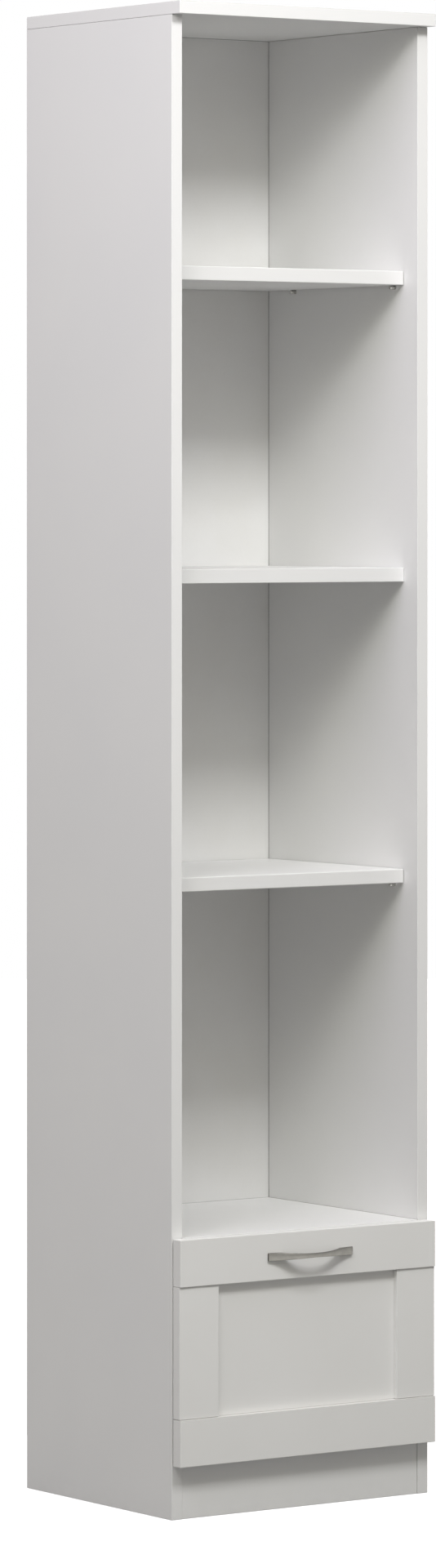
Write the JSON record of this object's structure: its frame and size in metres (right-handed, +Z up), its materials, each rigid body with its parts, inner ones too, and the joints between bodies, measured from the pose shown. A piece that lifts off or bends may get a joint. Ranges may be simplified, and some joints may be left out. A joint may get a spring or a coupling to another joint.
{
  "type": "tall bookcase with drawer",
  "caption": "Tall narrow white bookcase with open shelves over one framed drawer with a satin bow handle, on a flush plinth.",
  "frame": {"origin": "on the floor, under the centre of the whole part's box", "axes": "+Z up, +X to the right of someone who faces the drawer, +Y from the drawer's front towards the wall behind"},
  "size_m": [0.4, 0.3692, 1.9],
  "materials": {
    "white_board": "white melamine-faced board, satin",
    "white_front": "white foil-faced fibreboard, satin",
    "white_hardboard": "white painted hardboard, satin",
    "satin_nickel": "satin nickel on die-cast zinc",
    "nickel_plate": "nickel-plated steel",
    "bright_zinc": "bright zinc-plated steel",
    "cast_zinc": "bare die-cast zinc",
    "galvanised_steel": "rolled galvanised steel"
  },
  "bodies": {
    "case": {"back_panel": "white_hardboard", "bottom_board": "white_board", "cam_fitting_bottom_board_front_left": "cast_zinc", "cam_fitting_bottom_board_front_right": "cast_zinc", "cam_fitting_bottom_board_rear_left": "cast_zinc", "cam_fitting_bottom_board_rear_right": "cast_zinc", "cam_fitting_drawer_cover_board_front_left": "cast_zinc", "cam_fitting_drawer_cover_board_front_right": "cast_zinc", "cam_fitting_drawer_cover_board_rear_left": "cast_zinc", "cam_fitting_drawer_cover_board_rear_right": "cast_zinc", "cam_fitting_shelf_middle_front_left": "cast_zinc", "cam_fitting_shelf_middle_front_right": "cast_zinc", "cam_fitting_shelf_middle_rear_left": "cast_zinc", "cam_fitting_shelf_middle_rear_right": "cast_zinc", "drawer_cover_board": "white_board", "plinth": "white_board", "runner_outer_left": "galvanised_steel", "runner_outer_right": "galvanised_steel", "shelf_lower": "white_board", "shelf_lower_pin_front_left": "nickel_plate", "shelf_lower_pin_front_right": "nickel_plate", "shelf_lower_pin_rear_left": "nickel_plate", "shelf_lower_pin_rear_right": "nickel_plate", "shelf_middle": "white_board", "shelf_upper": "white_board", "shelf_upper_pin_front_left": "nickel_plate", "shelf_upper_pin_front_right": "nickel_plate", "shelf_upper_pin_rear_left": "nickel_plate", "shelf_upper_pin_rear_right": "nickel_plate", "side_panel_left": "white_board", "side_panel_right": "white_board", "top_panel": "white_board", "top_screw_front_left": "bright_zinc", "top_screw_front_right": "bright_zinc", "top_screw_rear_left": "bright_zinc", "top_screw_rear_right": "bright_zinc"},
    "drawer": {"cam_fitting_drawer_lower_left": "cast_zinc", "cam_fitting_drawer_lower_right": "cast_zinc", "cam_fitting_drawer_upper_left": "cast_zinc", "cam_fitting_drawer_upper_right": "cast_zinc", "drawer_back": "white_board", "drawer_bottom": "white_hardboard", "drawer_panel": "white_front", "drawer_rail_bottom": "white_front", "drawer_rail_top": "white_front", "drawer_side_left": "white_board", "drawer_side_right": "white_board", "drawer_stile_left": "white_front", "drawer_stile_right": "white_front", "handle": "satin_nickel", "handle_screw_left": "bright_zinc", "handle_screw_right": "bright_zinc", "runner_inner_left": "galvanised_steel", "runner_inner_right": "galvanised_steel"},
    "ball_cage_inner_left": {"ball_cage_inner_left": "galvanised_steel"},
    "ball_cage_inner_right": {"ball_cage_inner_right": "galvanised_steel"},
    "ball_cage_outer_left": {"ball_cage_outer_left": "galvanised_steel"},
    "ball_cage_outer_right": {"ball_cage_outer_right": "galvanised_steel"},
    "runner_middle_left": {"runner_middle_left": "galvanised_steel"},
    "runner_middle_right": {"runner_middle_right": "galvanised_steel"}
  },
  "joints": [
    {"name": "drawer_slide", "type": "slide", "parent": "case", "child": "drawer", "axis": [0, -1, 0], "range_m": [0, 0.3]},
    {"name": "runner_middle_left_slide", "type": "slide", "parent": "case", "child": "runner_middle_left", "axis": [0, -1, 0], "range_m": [0, 0.15]},
    {"name": "ball_cage_outer_left_slide", "type": "slide", "parent": "case", "child": "ball_cage_outer_left", "axis": [0, -1, 0], "range_m": [0, 0.075]},
    {"name": "ball_cage_inner_left_slide", "type": "slide", "parent": "case", "child": "ball_cage_inner_left", "axis": [0, -1, 0], "range_m": [0, 0.225]},
    {"name": "runner_middle_right_slide", "type": "slide", "parent": "case", "child": "runner_middle_right", "axis": [0, -1, 0], "range_m": [0, 0.15]},
    {"name": "ball_cage_outer_right_slide", "type": "slide", "parent": "case", "child": "ball_cage_outer_right", "axis": [0, -1, 0], "range_m": [0, 0.075]},
    {"name": "ball_cage_inner_right_slide", "type": "slide", "parent": "case", "child": "ball_cage_inner_right", "axis": [0, -1, 0], "range_m": [0, 0.225]}
  ],
  "couplings": [
    {"joint": "runner_middle_left_slide", "follows": "drawer_slide", "ratio": 0.5},
    {"joint": "ball_cage_outer_left_slide", "follows": "drawer_slide", "ratio": 0.25},
    {"joint": "ball_cage_inner_left_slide", "follows": "drawer_slide", "ratio": 0.75},
    {"joint": "runner_middle_right_slide", "follows": "drawer_slide", "ratio": 0.5},
    {"joint": "ball_cage_outer_right_slide", "follows": "drawer_slide", "ratio": 0.25},
    {"joint": "ball_cage_inner_right_slide", "follows": "drawer_slide", "ratio": 0.75}
  ]
}
